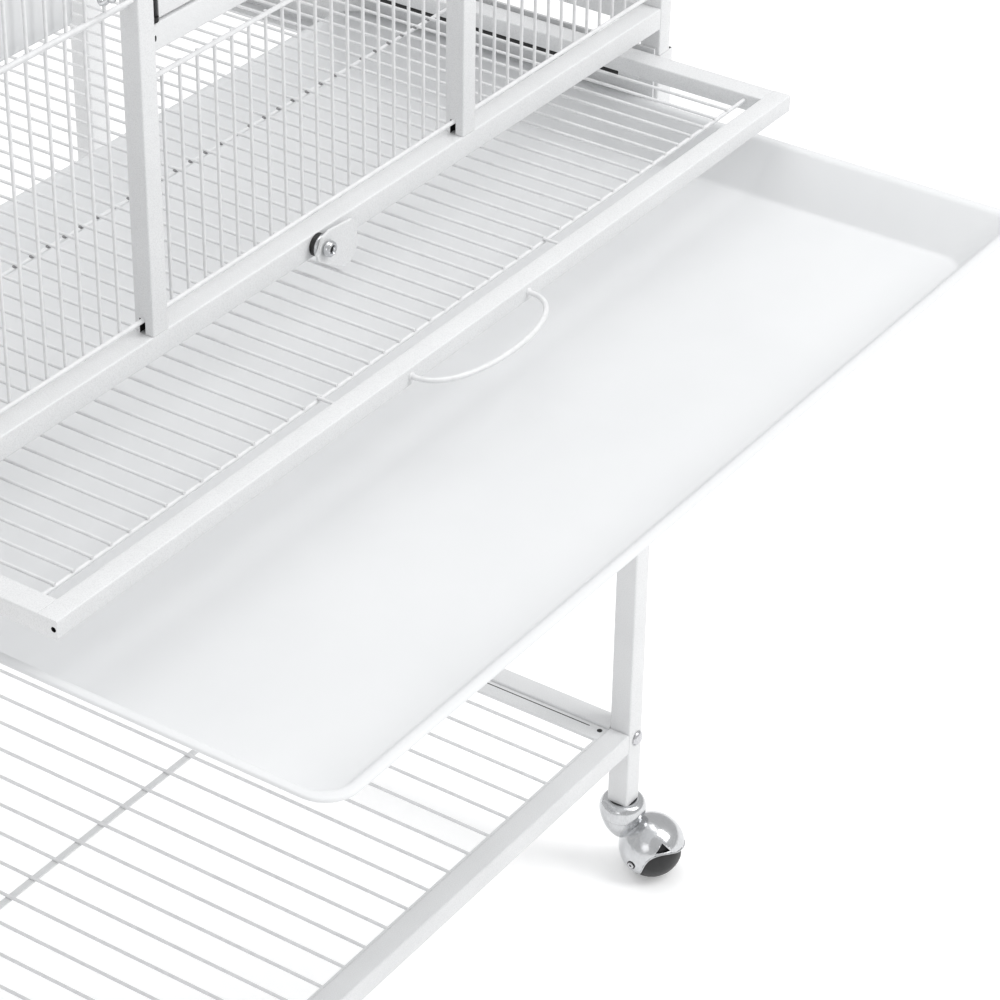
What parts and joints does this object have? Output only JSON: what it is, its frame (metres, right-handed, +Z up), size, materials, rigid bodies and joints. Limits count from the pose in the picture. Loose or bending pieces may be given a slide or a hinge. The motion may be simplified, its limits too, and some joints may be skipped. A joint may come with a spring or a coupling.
{
  "type": "bird cage on stand",
  "caption": "Wide flat-topped wire bird cage on a square-tube stand with a wire shelf, a slide-out grate and plastic tray, front doors, and hooded ball casters.",
  "frame": {"origin": "floor point under the centre of the whole object with the tray pulled out as drawn", "axes": "+Z up, X along the cage's width with +X to the right seen from the front, -Y towards the front, where the tray and the grate come out"},
  "size_m": [0.9328, 0.9114, 1.6],
  "materials": {
    "white_tube": "white hammertone powder coat",
    "white_wire": "smooth white powder coat",
    "white_plastic": "satin white",
    "chrome_metal": "polished",
    "black_rubber": "matt black"
  },
  "bodies": {
    "cage": {"leg_front_left": "white_tube", "leg_front_right": "white_tube", "leg_back_left": "white_tube", "leg_back_right": "white_tube", "shelf_front_rail": "white_tube", "shelf_back_rail": "white_tube", "shelf": "white_wire", "leg_screw_left": "chrome_metal", "leg_screw_right": "chrome_metal", "post_front_left": "white_tube", "post_back_left": "white_tube", "post_middle_left": "white_tube", "rail_left": "white_tube", "post_front_right": "white_tube", "post_back_right": "white_tube", "post_middle_right": "white_tube", "rail_right": "white_tube", "rail_front": "white_tube", "rail_back": "white_tube", "top_frame": "white_tube", "panel_low_middle": "white_wire", "panel_high_middle": "white_wire", "panel_low_left": "white_wire", "panel_low_right": "white_wire", "panel_high_left": "white_wire", "panel_high_right": "white_wire", "panel_left": "white_wire", "panel_right": "white_wire", "panel_back": "white_wire", "panel_top": "white_wire", "guide_left": "white_tube", "guide_right": "white_tube", "lock_bolt": "chrome_metal", "sill_bar": "white_tube", "door_hinge_pin": "chrome_metal", "caster_cup_front_left": "chrome_metal", "caster_cup_front_right": "chrome_metal", "caster_cup_back_left": "chrome_metal", "caster_cup_back_right": "chrome_metal"},
    "grate": {"grate_frame": "white_tube", "grate_wires": "white_wire", "grate_handle": "white_wire"},
    "tray": {"tray": "white_plastic"},
    "lock_plate": {"lock_plate": "white_tube"},
    "main_door": {"main_door": "white_tube"},
    "main_latch": {"main_latch": "chrome_metal"},
    "feeder_door_left": {"feeder_door_left": "white_wire", "feeder_cup_left": "white_plastic"},
    "feeder_latch_left": {"feeder_latch_left": "chrome_metal"},
    "feeder_door_right": {"feeder_door_right": "white_wire", "feeder_cup_right": "white_plastic"},
    "feeder_latch_right": {"feeder_latch_right": "chrome_metal"},
    "swivel_front_left": {"caster_hood_front_left": "chrome_metal"},
    "wheel_front_left": {"caster_wheel_front_left": "black_rubber"},
    "swivel_front_right": {"caster_hood_front_right": "chrome_metal"},
    "wheel_front_right": {"caster_wheel_front_right": "black_rubber"},
    "swivel_back_left": {"caster_hood_back_left": "chrome_metal"},
    "wheel_back_left": {"caster_wheel_back_left": "black_rubber"},
    "swivel_back_right": {"caster_hood_back_right": "chrome_metal"},
    "wheel_back_right": {"caster_wheel_back_right": "black_rubber"}
  },
  "joints": [
    {"name": "grate_slide", "type": "slide", "parent": "cage", "child": "grate", "axis": [0, -1, 0], "range_m": [-0.118, 0.38]},
    {"name": "tray_slide", "type": "slide", "parent": "cage", "child": "tray", "axis": [0, -1, 0], "range_m": [-0.296, 0.18]},
    {"name": "lock_swing", "type": "hinge", "parent": "cage", "child": "lock_plate", "pos_m": [-0.0077, -0.14725, 0.8175], "axis": [0, 1, 0], "range_deg": [-150, 0]},
    {"name": "main_door_hinge", "type": "hinge", "parent": "cage", "child": "main_door", "pos_m": [-0.158, -0.13795, 1.19975], "axis": [0, 0, 1], "range_deg": [-95, 0]},
    {"name": "main_latch_turn", "type": "hinge", "parent": "main_door", "child": "main_latch", "pos_m": [0.149, -0.14375, 1.2], "axis": [0, 1, 0], "range_deg": [-90, 90]},
    {"name": "feeder_door_left_hinge", "type": "hinge", "parent": "cage", "child": "feeder_door_left", "pos_m": [-0.4155, -0.13925, 1.135], "axis": [0, 0, 1], "range_deg": [-115, 0]},
    {"name": "feeder_latch_left_turn", "type": "hinge", "parent": "feeder_door_left", "child": "feeder_latch_left", "pos_m": [-0.2045, -0.14375, 1.068], "axis": [0, 1, 0], "range_deg": [-90, 90]},
    {"name": "feeder_door_right_hinge", "type": "hinge", "parent": "cage", "child": "feeder_door_right", "pos_m": [0.4155, -0.13925, 1.135], "axis": [0, 0, 1], "range_deg": [0, 115]},
    {"name": "feeder_latch_right_turn", "type": "hinge", "parent": "feeder_door_right", "child": "feeder_latch_right", "pos_m": [0.2045, -0.14375, 1.068], "axis": [0, 1, 0], "range_deg": [-90, 90]},
    {"name": "swivel_front_left_turn", "type": "hinge", "parent": "cage", "child": "swivel_front_left", "pos_m": [-0.428, -0.12975, 0.0594], "axis": [0, 0, 1], "continuous": true},
    {"name": "wheel_front_left_spin", "type": "hinge", "parent": "swivel_front_left", "child": "wheel_front_left", "pos_m": [-0.43736, -0.15527, 0.0268], "axis": [0.8, 0.6, 0], "continuous": true},
    {"name": "swivel_front_right_turn", "type": "hinge", "parent": "cage", "child": "swivel_front_right", "pos_m": [0.428, -0.12975, 0.0594], "axis": [0, 0, 1], "continuous": true},
    {"name": "wheel_front_right_spin", "type": "hinge", "parent": "swivel_front_right", "child": "wheel_front_right", "pos_m": [0.43736, -0.15527, 0.0268], "axis": [0.8, -0.6, 0], "continuous": true},
    {"name": "swivel_back_left_turn", "type": "hinge", "parent": "cage", "child": "swivel_back_left", "pos_m": [-0.428, 0.43525, 0.0594], "axis": [0, 0, 1], "continuous": true},
    {"name": "wheel_back_left_spin", "type": "hinge", "parent": "swivel_back_left", "child": "wheel_back_left", "pos_m": [-0.43736, 0.40973, 0.0268], "axis": [0.8, 0.6, 0], "continuous": true},
    {"name": "swivel_back_right_turn", "type": "hinge", "parent": "cage", "child": "swivel_back_right", "pos_m": [0.428, 0.43525, 0.0594], "axis": [0, 0, 1], "continuous": true},
    {"name": "wheel_back_right_spin", "type": "hinge", "parent": "swivel_back_right", "child": "wheel_back_right", "pos_m": [0.43736, 0.40973, 0.0268], "axis": [0.8, -0.6, 0], "continuous": true}
  ]
}
